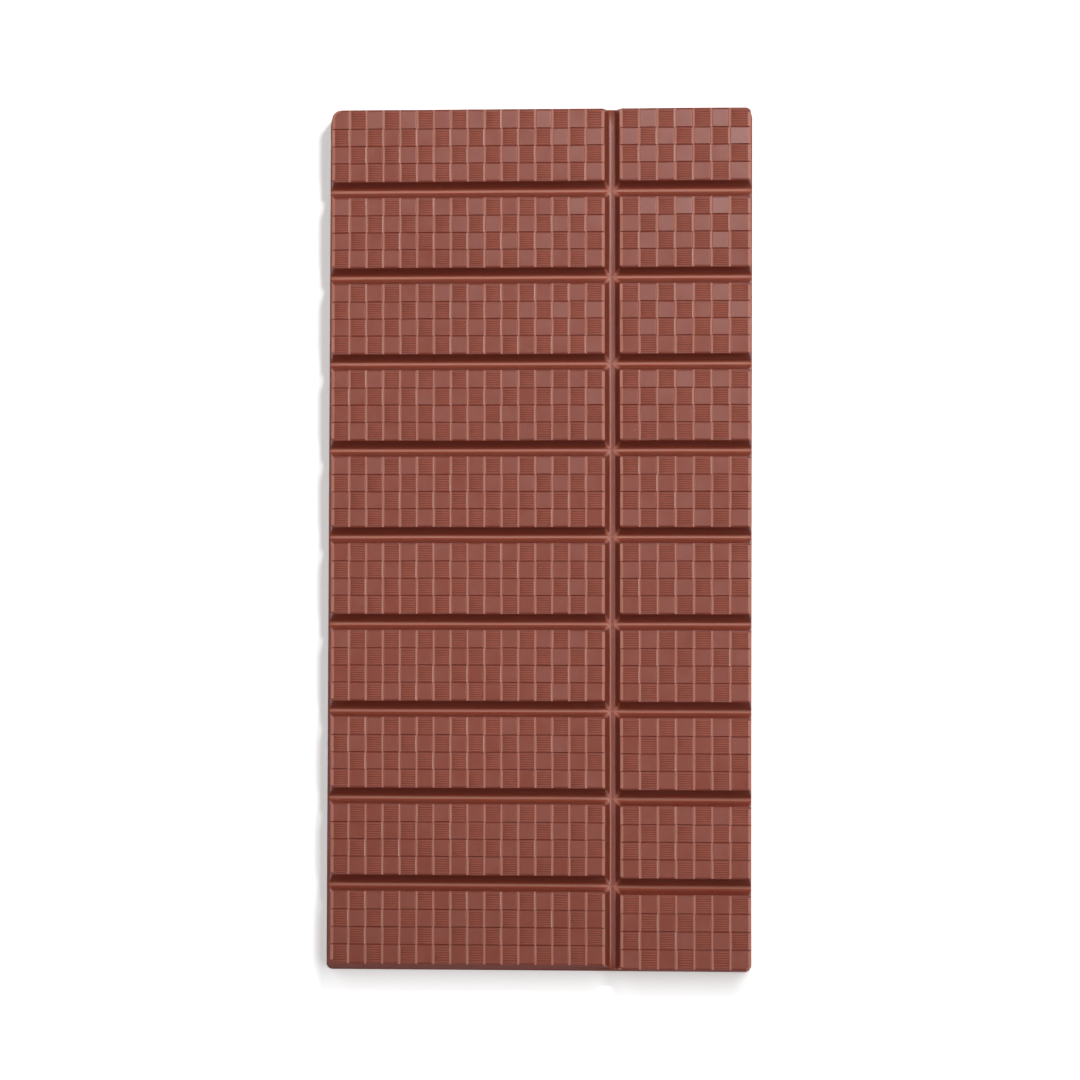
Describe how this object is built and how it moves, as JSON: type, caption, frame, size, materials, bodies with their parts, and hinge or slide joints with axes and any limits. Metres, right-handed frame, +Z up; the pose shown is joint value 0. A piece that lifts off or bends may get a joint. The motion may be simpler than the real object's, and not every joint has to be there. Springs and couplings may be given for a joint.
{
  "type": "chocolate bar",
  "caption": "Flat moulded chocolate bar with rows of long and short blocks, channels between them to snap along, and small raised and finely ribbed squares on top.",
  "frame": {"origin": "centre of the flat back's bounding rectangle, on the surface that the bar lies on", "axes": "+Z up through the bar's thickness, towards the patterned face; +Y along the bar; +X across it, towards the short blocks"},
  "size_m": [0.077, 0.1568, 0.007],
  "materials": {
    "milk_chocolate": "tempered milk chocolate, satin, a soft sheen on the smooth squares and duller on the ribbed ones"
  },
  "bodies": {
    "root": {"chocolate_bar": "milk_chocolate"}
  },
  "joints": []
}
